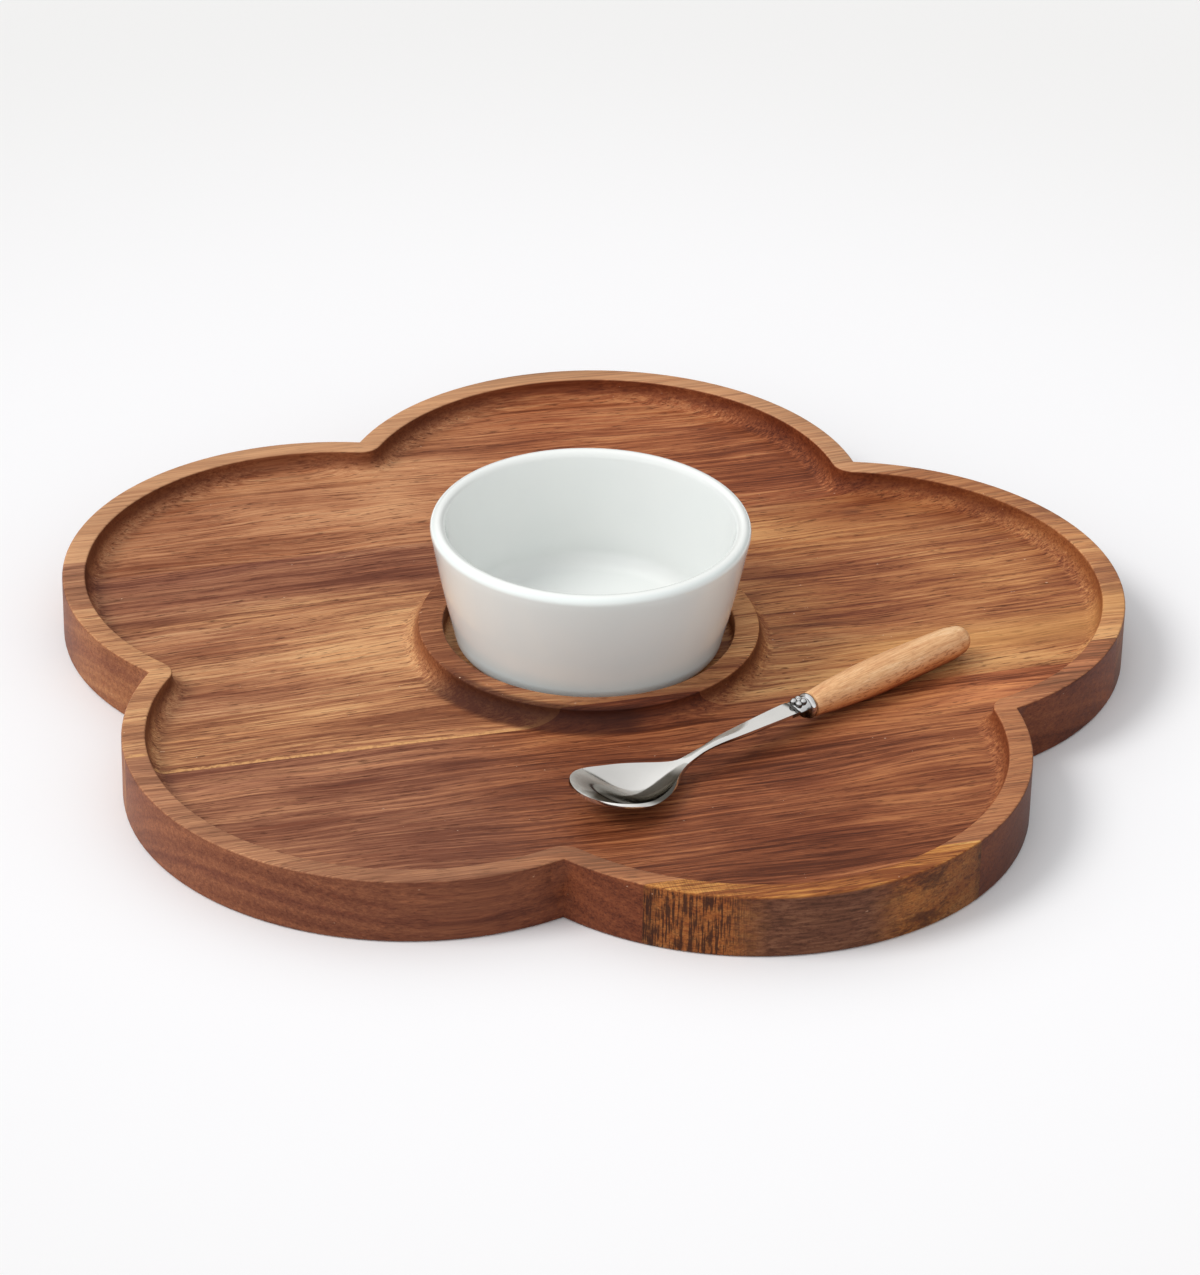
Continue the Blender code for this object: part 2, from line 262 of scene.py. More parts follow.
class Nodes:
    """A node tree being written, one method call for each node."""

    def __init__(self, tree):
        self.tree = tree

    def node(self, kind, settings, sockets, out=0):
        """Adds a node: its settings first, then a value or a wire for each named or numbered socket."""
        node = self.tree.nodes.new(kind)
        for name, value in settings.items():
            if name == "stops":
                self.set_stops(node.color_ramp, value)
            else:
                setattr(node, name, value)
        for place, value in sockets.items():
            self.plug(value, node.inputs[place])
        return Wire(self, node.outputs[out])

    def plug(self, value, socket):
        if isinstance(value, Wire):
            self.tree.links.new(value.socket, socket)
        else:
            socket.default_value = value

    def set_stops(self, ramp, stops):
        while len(ramp.elements) < len(stops):
            ramp.elements.new(1.0)
        for element, (place, colour) in zip(ramp.elements, stops):
            element.position = place
            element.color = colour

    def split(self, vector):
        first = self.node("ShaderNodeSeparateXYZ", {}, {0: vector})
        return [Wire(self, socket) for socket in first.socket.node.outputs]

    def join(self, x, y, z):
        return self.node("ShaderNodeCombineXYZ", {}, {0: x, 1: y, 2: z})

    def stretch(self, vector, x, y, z):
        return self.node("ShaderNodeVectorMath", {"operation": "MULTIPLY"}, {0: vector, 1: (x, y, z)})

    def shift(self, vector, x, y, z):
        return self.node("ShaderNodeVectorMath", {"operation": "ADD"}, {0: vector, 1: (x, y, z)})

    def noise(self, vector, detail=2.0, roughness=0.5):
        sockets = {"Vector": vector, "Scale": 1.0, "Detail": detail, "Roughness": roughness}
        return self.node("ShaderNodeTexNoise", {}, sockets)

    def ease(self, value, low, high):
        """0 below low, 1 above high and a smooth step between."""
        settings = {"interpolation_type": "SMOOTHSTEP"}
        return self.node("ShaderNodeMapRange", settings, {"Value": value, "From Min": low, "From Max": high})

    def within(self, value, low, high, soft):
        """1 between low and high, with soft edges that wide."""
        return self.ease(value, low - soft, low + soft) * (1 - self.ease(value, high - soft, high + soft))

    def ramp(self, value, stops):
        return self.node("ShaderNodeValToRGB", {"stops": stops}, {0: value})

    def mix(self, amount, first, second):
        return self.node("ShaderNodeMix", {"data_type": "RGBA"}, {0: amount, 6: first, 7: second}, 2)

    def tint(self, amount, first, second):
        """Multiplies the first colour by the second."""
        settings = {"data_type": "RGBA", "blend_type": "MULTIPLY"}
        return self.node("ShaderNodeMix", settings, {0: amount, 6: first, 7: second}, 2)


class Look(Nodes):
    """A material being made: a Principled shader and the nodes in front of it."""

    def __init__(self, name, **constants):
        self.material = bpy.data.materials.new(name)
        self.material.use_nodes = True
        super().__init__(self.material.node_tree)
        self.shader = self.tree.nodes["Principled BSDF"]
        for label, value in constants.items():
            self.shader.inputs[label.replace("_", " ")].default_value = value

    def feed(self, label, wire):
        self.plug(wire, self.shader.inputs[label])

    def place(self, own_frame=None):
        """The point on the piece, in millimetres, in the tray's frame or in one that a Mapping node sets."""
        spot = self.node("ShaderNodeTexCoord", {}, {}, "Object")
        if own_frame:
            spot = self.node("ShaderNodeMapping", {"vector_type": "TEXTURE"}, {"Vector": spot, **own_frame})
        return self.node("ShaderNodeVectorMath", {"operation": "SCALE"}, {0: spot, "Scale": 1 / MM})

    def facing(self):
        """The three parts of the surface's normal."""
        return self.split(self.node("ShaderNodeTexCoord", {}, {}, "Normal"))

    def bump(self, height, distance, strength=1.0):
        sockets = {"Height": height, "Distance": distance, "Strength": strength}
        self.feed("Normal", self.node("ShaderNodeBump", {}, sockets))


def tones(*colours):
    """A wood's colours from its darkest streaks to its lightest, as the stops of a ramp."""
    return [(place, srgb(*colour)) for place, colour in zip((0.12, 0.33, 0.50, 0.67, 0.88), colours)]


PALE_BACK = tones((132, 76, 48), (164, 106, 72), (182, 124, 86), (194, 138, 98), (212, 158, 114))
RED_BACK = tones((88, 42, 24), (120, 62, 36), (144, 80, 48), (164, 98, 62), (190, 128, 84))
GOLDEN = tones((126, 74, 48), (160, 104, 70), (182, 126, 86), (200, 146, 100), (220, 170, 120))
AMBER = tones((112, 58, 36), (150, 90, 56), (174, 114, 70), (192, 132, 84), (216, 162, 106))
BROWN = tones((116, 66, 46), (140, 88, 64), (160, 106, 76), (178, 122, 88), (198, 142, 102))
RED_FRONT = tones((84, 40, 22), (116, 62, 37), (140, 80, 50), (160, 98, 62), (184, 120, 76))
SAPWOOD = tones((136, 76, 40), (180, 116, 60), (206, 144, 76), (220, 164, 94), (234, 190, 122))
STRAW = [(0.2, srgb(204, 144, 98)), (0.5, srgb(230, 180, 130)), (0.8, srgb(246, 208, 164))]
GREY_STAIN = [(0.32, srgb(82, 52, 38)), (0.50, srgb(126, 86, 66)), (0.70, srgb(158, 118, 92))]


def painted_wall_light_and_shade(look, colour, facing, steep):
    """Darker walls and coves, partly end grain and partly painted shade, most where they face right, with
    painted light where they face left.
    """
    colour = look.tint(steep * 0.9, colour, (0.50, 0.38, 0.33, 1.0))
    # Painted shade on walls facing right, away from the window, and painted light below on walls facing left,
    # towards it.
    colour = look.tint(look.ease(facing[0], 0.12, 0.60) * steep * 0.65, colour, srgb(176, 158, 150))
    return look.tint(look.ease(-facing[0], 0.55, 0.98) * steep * 0.6, colour, (1.30, 1.34, 1.34, 1.0))


def acacia(name, seed, heart, left, right, change, rim_glow, figure=None):
    """Oiled acacia, its tones going from left to right over the change in X.

    Heart is the (Y, Z) of the stave's pith line, which the growth rings go round. Threads run along the
    stave, wandering a little. All lengths are in millimetres.
    """
    look = Look(name, Specular_IOR_Level=0.16)
    spot = look.place()
    x, y, z = look.split(spot)
    moved = look.shift(spot, 37.0 * seed, 11.0 * seed, 5.0 * seed)
    wander = (look.noise(look.stretch(moved, 0.006, 0.013, 0.013)) - 0.5) * 24.0
    ripple = (look.noise(look.stretch(moved, 0.028, 0.05, 0.05)) - 0.5) * 1.8
    across = y + wander + ripple
    side = across - heart[0]
    up = z - heart[1]
    ring = distance(side, up)
    grain = look.join(x + 100.0 * seed, ring, z * 0.2)
    thread = look.join(x + 60.0 * seed, across, z)
    band = look.noise(look.stretch(grain, 0.0045, 0.045, 0.05))
    vein = look.noise(look.stretch(grain, 0.009, 0.21, 0.1), 3.0, 0.6)
    streak = look.noise(look.stretch(thread, 0.014, 0.75, 0.75), 4.0, 0.66)
    fibre = look.noise(look.stretch(thread, 0.055, 1.7, 1.7), 4.0, 0.7)
    facing = look.facing()
    steep = 1 - look.ease(facing[2], 0.25, 0.985)
    figured = (band - 0.5) * 1.3 + (vein - 0.5) * 1.5 + (streak - 0.5) * 1.35 + (fibre - 0.5) * 1.5
    shade = 0.5 + figured * (1 - steep * 0.45)
    colour = look.mix(look.ease(x + wander, *change), look.ramp(shade, left), look.ramp(shade, right))
    violet = look.ease(look.noise(look.stretch(grain, 0.006, 0.10, 0.06)), 0.50, 0.68)
    colour = look.tint(violet * 0.6, colour, srgb(222, 208, 222))
    lines = look.noise(look.stretch(thread, 0.008, 0.75, 0.75), 4.0, 0.7)
    colour = look.mix(look.ease(lines, 0.57, 0.66) * (1 - steep * 0.5) * 0.45, colour, srgb(84, 42, 26))
    colour = look.tint(look.ease(lines, 0.44, 0.34) * 0.6, colour, (1.30, 1.25, 1.16, 1.0))
    cloud = look.noise(look.stretch(moved, 0.011, 0.030, 0.030), 3.0)
    colour = look.tint(look.ease(cloud, 0.56, 0.68) * 0.5, colour, srgb(206, 184, 178))
    pores = look.noise(look.stretch(thread, 0.12, 1.5, 1.5), 2.0, 0.7)
    pore = look.ease(pores, 0.57, 0.67) * (1 - steep * 0.5)
    colour = look.mix(pore * 0.72, colour, srgb(74, 36, 24))
    if figure:
        colour = figure(look, colour, x, y, z, moved)
    specks = look.noise(look.stretch(moved, 0.45, 0.9, 0.9), 1.0)
    colour = look.mix(look.ease(specks, 0.80, 0.82) * 0.7, colour, srgb(232, 200, 170))
    # Painted shade on the walls and coves, and painted light where they face the window.
    colour = painted_wall_light_and_shade(look, colour, facing, steep)
    rim = look.ease(z, TRAY_TOP / MM - 0.5, TRAY_TOP / MM - 0.1) * (0.7 + (streak - 0.5) * 1.6)
    colour = look.mix(rim * rim_glow, colour, srgb(212, 164, 122))
    look.feed("Base Color", colour)
    look.feed("Roughness", 0.50 + (fibre - 0.5) * 0.25 + (band - 0.5) * 0.12 + pore * 0.1)
    look.bump(fibre * 0.6 - pore * 0.8, 0.045 * MM, 0.5)
    return look.material


def middle_figure(look, colour, x, y, z, moved):
    """Dark heartwood along the back glue line on the left, and a thread of sapwood along the front one."""
    drift = (look.noise(look.stretch(moved, 0.010, 0.05, 0.05), 3.0) - 0.5) * 34.0
    left = 1 - look.ease(x, -50.0, 30.0)
    dark = look.ease(y + drift, 36.0, 60.0) * left
    colour = look.tint(dark * 0.9, colour, srgb(214, 200, 214))
    back_right = look.ease(x, 62.0, 112.0) * look.ease(y + drift * 0.5, 30.0, 66.0)
    colour = look.tint(back_right * 0.9, colour, srgb(194, 162, 152))
    # Painted light: a paler patch right of the collar, lifting the bowl's shadow there.
    soft = look.within(x + drift * 0.3, 66.0, 100.0, 9.0) * look.within(y, -12.0, 22.0, 9.0)
    colour = look.tint(soft * 0.7, colour, (1.24, 1.26, 1.22, 1.0))
    knot = look.ease(((x - 116.0) ** 2 + ((y - 67.0) * 2.0) ** 2) ** 0.5, 6.0, 1.0)
    colour = look.mix(knot * 0.5, colour, srgb(92, 46, 30))
    gold = look.within(y + drift * 0.25, -38.0, -22.0, 7.0) * look.ease(x, 70.0, 120.0)
    colour = look.mix(gold * 0.45, colour, srgb(206, 150, 88))
    ragged = (look.noise(look.stretch(moved, 0.22, 1.2, 1.2), 3.0, 0.7) - 0.42) * 5.0
    sap = 1 - look.ease(y - MIDDLE_JOINT / MM - ragged, 0.5, 1.7)
    stitches = look.ease(look.noise(look.stretch(moved, 0.55, 0.4, 0.4), 2.0), 0.36, 0.56)
    amount = sap * (0.40 + stitches * 0.50) * (1 - look.ease(x, -30.0, 5.0))
    colour = look.mix(amount, colour, srgb(216, 162, 106))
    return collar_shadow(look, colour, x, y, z)


def front_figure(look, colour, x, y, z, moved):
    """Paler wood at the right end, where it carries on the middle stave's figure."""
    drift = (look.noise(look.stretch(moved, 0.010, 0.05, 0.05), 3.0) - 0.5) * 40.0
    pale = look.ease(x + drift, 95.0, 135.0) * look.ease(y + drift, -100.0, -62.0)
    colour = look.tint(pale * 0.8, colour, (1.40, 1.48, 1.50, 1.0))
    near_joint = look.ease(y + drift * 0.3, -76.0, -54.0) * look.ease(x, 44.0, 70.0)
    colour = look.tint(near_joint * 0.75, colour, (1.42, 1.48, 1.34, 1.0))
    return collar_shadow(look, colour, x, y, z)


def collar_shadow(look, colour, x, y, z):
    """Painted shade round the front of the collar, darkest in a crescent at the front left of its cove."""
    from_middle = distance(x, y)
    below = 1 - look.ease(z, 20.5, 21.7)
    # Painted shade: a dark crescent in the cove at the front left of the collar.
    crescent = look.within(from_middle, 56.5, 64.5, 1.6) * (1 - look.ease(y + x * 0.35, -48.0, -32.0))
    crescent = crescent * (1 - look.ease(x, -4.0, 10.0))
    colour = look.mix(crescent * 0.78, colour, srgb(70, 34, 24))
    cove = look.within(from_middle, 57.0, 64.0, 3.0) * (1 - look.ease(y, -45.0, -15.0))
    colour = look.tint(cove * below * 0.7, colour, srgb(188, 166, 160))
    collar = look.within(from_middle, 49.0, 60.0, 1.0) * (1 - look.ease(y, -58.0, -30.0)) * (1 - below)
    return look.tint(collar * 0.85, colour, srgb(186, 158, 146))


def strip_figure(look, colour, x, y, z, moved):
    """Sapwood with dark stain: ribbed at the left end, grey-brown in the middle, blotched at the right."""
    wall = (1 - look.ease(z, 21.6, 22.5)) * look.ease(-look.facing()[1], -0.2, 0.1)
    ribs = look.noise(look.stretch(moved, 1.9, 0.08, 0.08), 3.0, 0.65)
    breaks = look.noise(look.stretch(moved, 0.35, 0.3, 0.22), 3.0, 0.6)
    left = 1 - look.ease(x, -6.0, 12.0)
    colour = look.tint(left * wall * 0.5, colour, srgb(206, 160, 138))
    ribbed = look.ease(ribs + (breaks - 0.5) * 0.5, 0.45, 0.57)
    colour = look.mix(ribbed * left * (0.25 + wall * 0.6), colour, srgb(52, 26, 18))
    wave = look.noise(look.stretch(moved, 0.035, 1.1, 1.1), 4.0, 0.65)
    middle = look.within(x, 3.0, 50.0, 9.0) * wall
    colour = look.mix(middle * 0.95, colour, look.ramp(wave, GREY_STAIN))
    blots = look.noise(look.stretch(moved, 0.060, 0.11, 0.13), 5.0, 0.72)
    right = look.ease(x, 44.0, 56.0)
    colour = look.mix(look.ease(blots, 0.46, 0.62) * right * wall * 0.7, colour, srgb(82, 44, 28))
    colour = look.tint(right * wall * 0.15, colour, srgb(205, 170, 140))
    speckle = look.ease(look.noise(look.stretch(moved, 0.5, 1.1, 1.1), 3.0, 0.7), 0.50, 0.62)
    colour = look.mix(speckle * wall * 0.45, colour, srgb(80, 44, 28))
    ends = 1 - look.within(x, -23.5, 84.0, 1.2)
    return look.mix(ends * wall * 0.35, colour, srgb(48, 24, 18))


def white_glaze():
    """Glossy white, a little cooler outside, painted to offset the warm light bounced from the wood, darker
    on the inner floor, and with painted shade on the right of the inner wall.
    """
    look = Look("white_glaze", IOR=1.5, Coat_Roughness=0.04)
    spot = look.place()
    cloud = look.noise(look.stretch(spot, 0.04, 0.04, 0.04), 3.0)
    speck = look.ease(look.noise(look.stretch(spot, 1.3, 1.3, 1.3)), 0.76, 0.82)
    colour = look.mix(cloud, srgb(241, 243, 240), srgb(236, 240, 238))
    colour = look.mix(speck * 0.2, colour, srgb(190, 188, 180))
    x, y, z = look.split(spot)
    from_middle = distance(x, y)
    facing = look.facing()
    outwards = (facing[0] * x + facing[1] * y) / from_middle
    # Painted light: a cooler outside, offsetting the warm light bounced from the wood.
    colour = look.tint(look.ease(outwards, 0.2, 0.8), colour, (0.955, 1.0, 1.01, 1.0))
    inner_floor = look.ease(z, 24.0, 18.0) * look.ease(facing[2], 0.6, 0.9)
    colour = look.tint(inner_floor, colour, (0.93, 0.935, 0.95, 1.0))
    # Painted shade on the right of the inner wall.
    inner_right = look.ease(-outwards, 0.3, 0.8) * look.ease(x, -10.0, 40.0)
    colour = look.tint(inner_right * 0.9, colour, (0.86, 0.86, 0.87, 1.0))
    look.feed("Base Color", colour)
    look.feed("Roughness", 0.08 + cloud * 0.06 + speck * 0.1)
    look.feed("Coat Weight", 0.25 + cloud * 0.3)
    orange_peel = look.noise(look.stretch(spot, 0.16, 0.16, 0.16))
    look.bump(orange_peel, 0.04 * MM, 0.6)
    return look.material


def bare_clay():
    look = Look("bare_clay", Specular_IOR_Level=0.25)
    spot = look.place()
    sand = look.noise(look.stretch(spot, 3.0, 3.0, 3.0), 3.0)
    look.feed("Base Color", look.mix(sand, srgb(206, 200, 188), srgb(228, 224, 214)))
    look.feed("Roughness", 0.75 + sand * 0.15)
    look.bump(sand, 0.08 * MM, 0.7)
    return look.material


def along_spoon(look):
    """Millimetres in the spoon's own frame: X from the tip to the butt, Z from the handle's middle."""
    at = (SPOON_TIP.x, SPOON_TIP.y, SPOON_TIP.z + SPOON_AXIS)
    return look.place({"Location": at, "Rotation": (0.0, 0.0, SPOON_TURN)})


def polished_steel(name, tone, gloss):
    """Polished metal, with a painted dark reflection in the near half of the scoop and painted shade
    underneath and in the ferrule's creases.
    """
    look = Look(name, Metallic=1.0, Specular_Tint=(0.38, 0.37, 0.35, 1.0))
    spot = along_spoon(look)
    brushed = look.noise(look.stretch(spot, 0.25, 5.0, 5.0), 3.0, 0.6)
    smear = look.noise(look.stretch(spot, 0.10, 0.14, 0.14))
    colour = look.mix(smear, srgb(*tone), srgb(*[part - 12 for part in tone]))
    x = look.split(spot)[0]
    facing = look.facing()
    across = facing[1] * math.cos(SPOON_TURN) - facing[0] * math.sin(SPOON_TURN)
    # Painted reflection: the near half of the scoop is darker, standing in for a dark reflection.
    painted_dark_reflection = look.ease(across + (smear - 0.5) * 0.10, -0.02, 0.04) * look.ease(facing[2], 0.0, 0.2)
    painted_dark_reflection = painted_dark_reflection * (1 - look.ease(x, 37.0, 43.0))
    dark = look.mix(look.ease(across, 0.12, 0.42), srgb(100, 94, 85), srgb(128, 122, 112))
    colour = look.mix(painted_dark_reflection * 0.92, colour, dark)
    # Painted shade underneath.
    underside = look.ease(-facing[2], 0.0, 0.3)
    colour = look.mix(underside * 0.5, colour, srgb(90, 84, 76))
    # Painted shade in the ferrule's creases.
    creases = look.ease(facing[2], 0.62, 0.34) * look.within(x, 90.0, 99.0, 0.5) * 0.85
    colour = look.mix(creases, colour, srgb(38, 36, 34))
    look.feed("Base Color", colour)
    look.feed("Roughness", gloss + smear * 0.05 + brushed * 0.04)
    look.bump(brushed, 0.008 * MM, 0.4)
    return look.material


def beech():
    """Varnished beech with short brown ray flecks, more of them towards its underside, which painted shade
    makes darker.
    """
    look = Look("beech", Specular_IOR_Level=0.30, Coat_Roughness=0.35)
    spot = along_spoon(look)
    y, z = look.split(spot)[1:]
    band = look.noise(look.stretch(spot, 0.02, 0.32, 0.32), 3.0, 0.55)
    fibre = look.noise(look.stretch(spot, 0.12, 2.4, 2.4), 3.0, 0.6)
    shade = 0.5 + (band - 0.5) * 1.1 + (fibre - 0.5) * 0.9
    colour = look.ramp(shade, STRAW)
    # The lower side: darker with painted shade, darkest underneath, and more flecked.
    lower = 1 - look.ease(z + y * 0.5, -5.5, 3.0)
    colour = look.tint(lower * 0.9, colour, srgb(226, 184, 150))
    colour = look.tint(look.ease(-z, 1.0, 4.5) * 0.95, colour, srgb(150, 92, 62))
    rays = look.noise(look.stretch(spot, 0.36, 1.7, 1.7), 2.0, 0.65)
    fleck = look.ease(rays, 0.53, 0.62) * (0.22 + lower * 0.78)
    colour = look.mix(fleck * 0.85, colour, srgb(150, 82, 48))
    look.feed("Base Color", colour)
    look.feed("Roughness", 0.42 + fibre * 0.16)
    look.feed("Coat Weight", 0.08 + band * 0.10)
    look.bump(fibre * 0.5 - fleck, 0.05 * MM, 0.5)
    return look.material


def floor_paint():
    look = Look("floor_paint", Specular_IOR_Level=0.05)
    spot = look.place()
    cloud = look.noise(look.stretch(spot, 0.004, 0.004, 0.004))
    x, y = look.split(spot)[:2]
    # Painted light: paler within about 230 mm of the middle, fading out by 620 mm, lifting the shade round
    # the tray.
    far = look.ease(distance(x, y), 230.0, 620.0)
    look.feed("Base Color", look.mix(far, srgb(243, 243, 245), srgb(233, 233, 233)))
    look.feed("Roughness", 0.85 + cloud * 0.1)
    return look.material


# ------------------------------------------------------------------------------------------------------------
# Tray
# ------------------------------------------------------------------------------------------------------------


def edge_profile():
    """The tray's edge as (inset, height): from underneath, up the wall, over the rim and down the cove."""
    points = [(FOOT_EASE + 3 * MM, 0), (FOOT_EASE + 0.6 * MM, 0)]
    points += arc((FOOT_EASE, FOOT_EASE), FOOT_EASE, 270, 180, 4)
    points += [(0, TRAY_TOP * 0.5)]
    points += arc((TOP_EASE, TRAY_TOP - TOP_EASE), TOP_EASE, 180, 90, 4)
    points += [(RIM_WIDTH * 0.5, TRAY_TOP)]
    points += arc((RIM_WIDTH - TOP_EASE, TRAY_TOP - TOP_EASE), TOP_EASE, 90, 0, 4)
    foot = RIM_WIDTH + COVE
    points += arc((foot, RECESS_FLOOR + COVE), COVE, 180, 270, 12)
    points += [(foot + 0.5 * MM, RECESS_FLOOR), (foot + 2 * MM, RECESS_FLOOR)]
    return points


def collar_profile():
    """The collar as (radius, height): from the recess floor up its cove, over the top and into the pocket."""
    foot = COLLAR_RADIUS + COVE
    corner = 2 * MM
    points = [(foot + 2 * MM, RECESS_FLOOR), (foot + 0.5 * MM, RECESS_FLOOR)]
    points += arc((foot, RECESS_FLOOR + COVE), COVE, 270, 180, 12)
    points += arc((COLLAR_RADIUS - TOP_EASE, COLLAR_TOP - TOP_EASE), TOP_EASE, 0, 90, 4)
    points += arc((POCKET_RADIUS + TOP_EASE, COLLAR_TOP - TOP_EASE), TOP_EASE, 90, 180, 4)
    points += arc((POCKET_RADIUS - corner, POCKET_FLOOR + corner), corner, 0, -90, 4)
    points += [(POCKET_RADIUS - corner - 1 * MM, POCKET_FLOOR), (0, POCKET_FLOOR)]
    return points


def routed_tray():
    """The whole tray before it is parted along its glue lines."""
    first = polar(PETAL_OFFSET, 0)
    start = [first + polar(PETAL_RADIUS - inset, -PETAL_SWEEP, z) for inset, z in edge_profile()]
    tray = draw_line("tray", start)
    for petal in range(PETALS):
        middle = 2 * HALF_PETAL * petal
        sweep(2 * PETAL_SWEEP, polar(PETAL_OFFSET, middle), 48)
        sweep(2 * (HALF_PETAL - PETAL_SWEEP), polar(NOTCH_OFFSET, middle + HALF_PETAL), 10)
    weld(1e-5)
    pick(tray, "edges", open_edges_at(0))
    bpy.ops.mesh.edge_face_add()
    bpy.ops.object.mode_set(mode="OBJECT")

    draw_line("collar", [(radius, 0, z) for radius, z in collar_profile()])
    sweep(2 * math.pi, (0, 0, 0), 144)
    weld()
    bpy.ops.object.mode_set(mode="OBJECT")
    tray.select_set(True)
    bpy.context.view_layer.objects.active = tray
    bpy.ops.object.join()
    bpy.ops.object.mode_set(mode="EDIT")
    pick(tray, "edges", open_edges_at(RECESS_FLOOR))
    bpy.ops.mesh.fill(use_beauty=True)
    face_outwards()
    bpy.ops.object.mode_set(mode="OBJECT")
    return tray


def part_stave(tray, name, front, back):
    """A copy of the tray cut off at its glue lines. None leaves that side whole."""
    stave = tray.copy()
    stave.data = tray.data.copy()
    stave.name = stave.data.name = name
    bpy.context.scene.collection.objects.link(stave)
    only(stave)
    bpy.ops.object.mode_set(mode="EDIT")
    for joint, outwards in ((front, -1), (back, 1)):
        if joint is None:
            continue
        bpy.ops.mesh.select_all(action="SELECT")
        cut = joint - outwards * GLUE_FILM / 2
        bpy.ops.mesh.bisect(
            plane_co=(0, cut, 0), plane_no=(0, outwards, 0), use_fill=True, clear_outer=True, threshold=1e-6
        )
    leave_edit(30)
    return stave


# ------------------------------------------------------------------------------------------------------------
# Bowl
# ------------------------------------------------------------------------------------------------------------


def bowl_wall(height):
    """Outer radius at a height above the foot: tapered and very slightly barrelled."""
    share = height / BOWL_HEIGHT
    return BOWL_RADIUS - BOWL_TAPER * (1 - share) + 2.4 * MM * share * (1 - share) - 0.06 * MM


def bowl_profile():
    corner, lip, cove, floor = 4.6 * MM, BOWL_WALL / 2, 7 * MM, 6 * MM
    lean = math.degrees(math.atan(BOWL_TAPER / BOWL_HEIGHT)) - 3
    foot = bowl_wall(corner) - corner
    ring = foot - 5 * MM
    points = [(0, 1 * MM), (ring - 2.2 * MM, 1 * MM)]
    points += arc((ring - 1.6 * MM, 0.5 * MM), 0.5 * MM, 110, 20, 3)
    points += arc((ring, 0.4 * MM), 0.4 * MM, 200, 270, 2)
    points += [(foot - 0.4 * MM, 0)]
    points += arc((foot, corner), corner, 272, 358, 8)
    rise = [corner + (BOWL_HEIGHT - lip - corner) * i / 10 for i in range(1, 10)]
    points += [(bowl_wall(z), z) for z in rise]
    crest = bowl_wall(BOWL_HEIGHT - lip) - lip
    points += arc((crest, BOWL_HEIGHT - lip), lip, -lean, 180 - lean, 14)
    top_of_cove = floor + cove
    fall = [BOWL_HEIGHT - lip - (BOWL_HEIGHT - lip - top_of_cove) * i / 7 for i in range(1, 7)]
    points += [(bowl_wall(z) - BOWL_WALL, z) for z in fall]
    points += arc((bowl_wall(top_of_cove) - BOWL_WALL - cove, top_of_cove), cove, 0, -90, 12)
    points += [(bowl_wall(top_of_cove) - BOWL_WALL - cove - 1 * MM, floor), (0, floor)]
    return [(radius, BOWL_FOOT + height) for radius, height in points]


def glazed_bowl():
    bowl = turn_piece("glazed_bowl", bowl_profile(), 160)
    leave_edit(40)
    bowl.data.materials.append(white_glaze())
    bowl.data.materials.append(bare_clay())
    for face in bowl.data.polygons:
        if face.normal.z < -0.9 and face.center.z < BOWL_FOOT + 0.3 * MM:
            face.material_index = 1
    return bowl


# ------------------------------------------------------------------------------------------------------------
# Spoon, made in its own frame: tip at the origin, X towards the handle, Z = 0 on the recess floor
# ------------------------------------------------------------------------------------------------------------


def flow(stops):
    """A smooth function through (place, value) stops."""
    slopes = [0.0]
    for (x0, y0), (x1, y1), (x2, y2) in zip(stops, stops[1:], stops[2:]):
        before, after = (y1 - y0) / (x1 - x0), (y2 - y1) / (x2 - x1)
        slopes.append(0.0 if before * after <= 0 else 2 * before * after / (before + after))
    slopes.append(0.0)

    def value(x):
        for (x0, y0), (x1, y1), s0, s1 in zip(stops, stops[1:], slopes, slopes[1:]):
            if x <= x1:
                break
        width = x1 - x0
        t = min(max((x - x0) / width, 0.0), 1.0)
        rise = y0 * (1 + 2 * t) * (1 - t) ** 2 + y1 * t * t * (3 - 2 * t)
        return rise + width * (s0 * t * (1 - t) ** 2 + s1 * t * t * (t - 1))

    return value


def scoop_half_width(x):
    share = min(x / SCOOP_LENGTH, 1.0)
    egg = math.sqrt(max(share * (1 - share), 0.0)) * (1.5 - share)
    return SCOOP_HALF_WIDTH * egg / 0.55 * max(1 - 1.2 * share**6, 0.0)


blade_rim = flow(
    [
        (0, 11.1 * MM),
        (23 * MM, 6.9 * MM),
        (41.3 * MM, 5.7 * MM),
        (51.8 * MM, 7.4 * MM),
        (62.4 * MM, 8.5 * MM),
        (SHANK_END, 8.6 * MM),
    ]
)
neck_half_width = flow(
    [
        (29.8 * MM, 0),
        (44.2 * MM, 1.9 * MM),
        (52.8 * MM, 1.4 * MM),
        (62.4 * MM, 2.2 * MM),
        (75.3 * MM, 3.0 * MM),
        (SHANK_END, 3.7 * MM),
    ]
)
scoop_hollow = flow(
    [
        (0, 0),
        (23 * MM, 5.2 * MM),
        (44 * MM, 0.1 * MM),
        (58 * MM, -0.5 * MM),
        (72 * MM, -0.04 * MM),
    ]
)
ROW_CELLS = 16
ROW_STEP = 2.6 * MM


